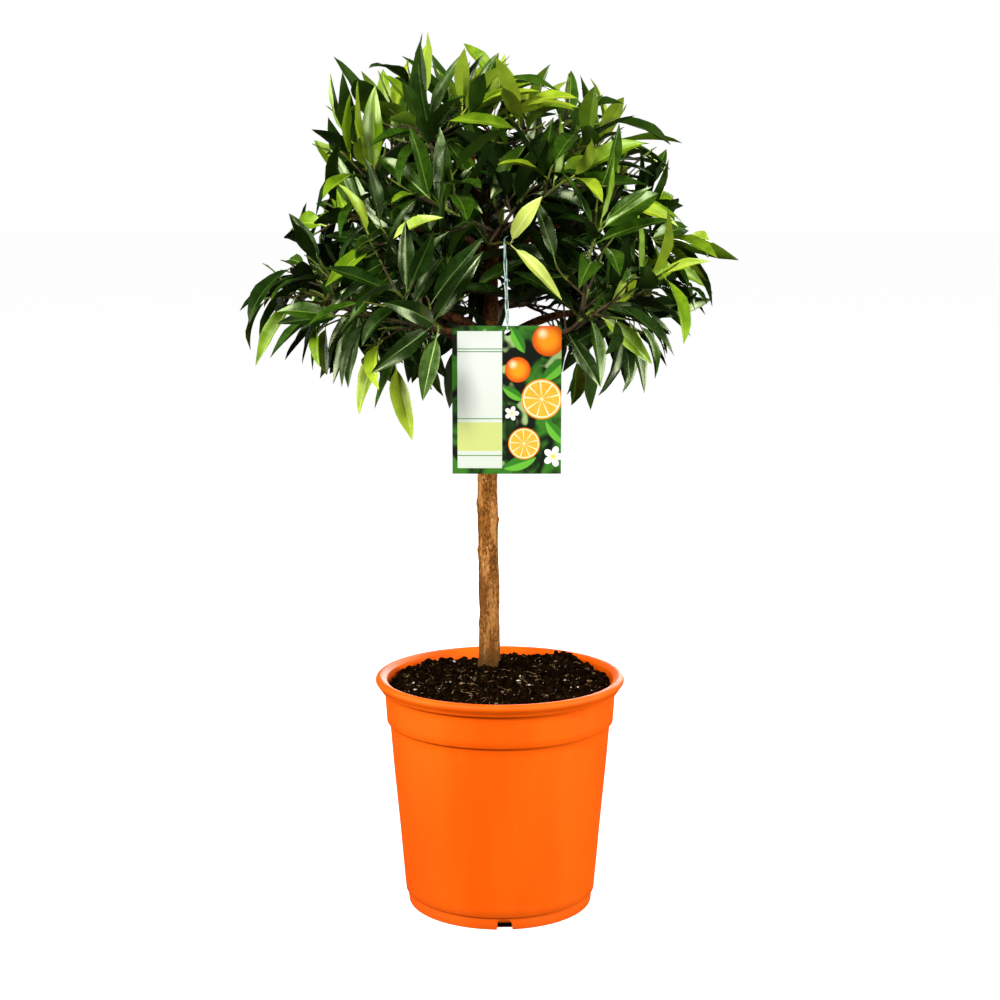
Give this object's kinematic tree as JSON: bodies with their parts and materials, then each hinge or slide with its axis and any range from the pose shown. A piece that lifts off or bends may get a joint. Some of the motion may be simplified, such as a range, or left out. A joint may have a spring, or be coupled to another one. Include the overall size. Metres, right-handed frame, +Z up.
{
  "type": "potted evergreen tree",
  "caption": "Small tree with one clean stem and a broad crown of narrow glossy leaves, in a round plastic pot of soil, with a printed label hung in the crown.",
  "frame": {"origin": "middle of the flat underside of the pot, on the surface that it stands on", "axes": "+Z up along the stem, -Y towards the front where the label hangs, +X to the right seen from the front"},
  "size_m": [0.4826, 0.4672, 0.8579],
  "materials": {
    "pot_plastic": "satin moulded plastic",
    "soil": "moist potting soil",
    "bark": "smooth tan bark with fine grain",
    "young_bark": "young brown-green bark",
    "leaf": "glossy leaves",
    "card": "printed plastic card",
    "string": "thin plastic string"
  },
  "bodies": {
    "plant": {"pot": "pot_plastic", "soil": "soil", "trunk": "bark", "leader": "young_bark", "bough_low_1": "young_bark", "bough_low_2": "young_bark", "bough_low_3": "young_bark", "bough_low_4": "young_bark", "bough_low_5": "young_bark", "bough_low_6": "young_bark", "bough_mid_1": "young_bark", "bough_mid_2": "young_bark", "bough_mid_3": "young_bark", "bough_mid_4": "young_bark", "bough_mid_5": "young_bark", "bough_top_1": "young_bark", "bough_top_2": "young_bark", "bough_top_3": "young_bark", "foliage_low_1": "leaf", "foliage_low_2": "leaf", "foliage_low_3": "leaf", "foliage_low_4": "leaf", "foliage_low_5": "leaf", "foliage_low_6": "leaf", "foliage_mid_1": "leaf", "foliage_mid_2": "leaf", "foliage_mid_3": "leaf", "foliage_mid_4": "leaf", "foliage_mid_5": "leaf", "foliage_top_1": "leaf", "foliage_top_2": "leaf", "foliage_top_3": "leaf", "foliage_leader": "leaf"},
    "label": {"label_card": "card", "label_loop": "string"}
  },
  "joints": [
    {"name": "label_swing", "type": "hinge", "parent": "plant", "child": "label", "pos_m": [0.004, -0.111, 0.661], "axis": [1, 0, 0], "range_deg": [-60, 8]}
  ]
}
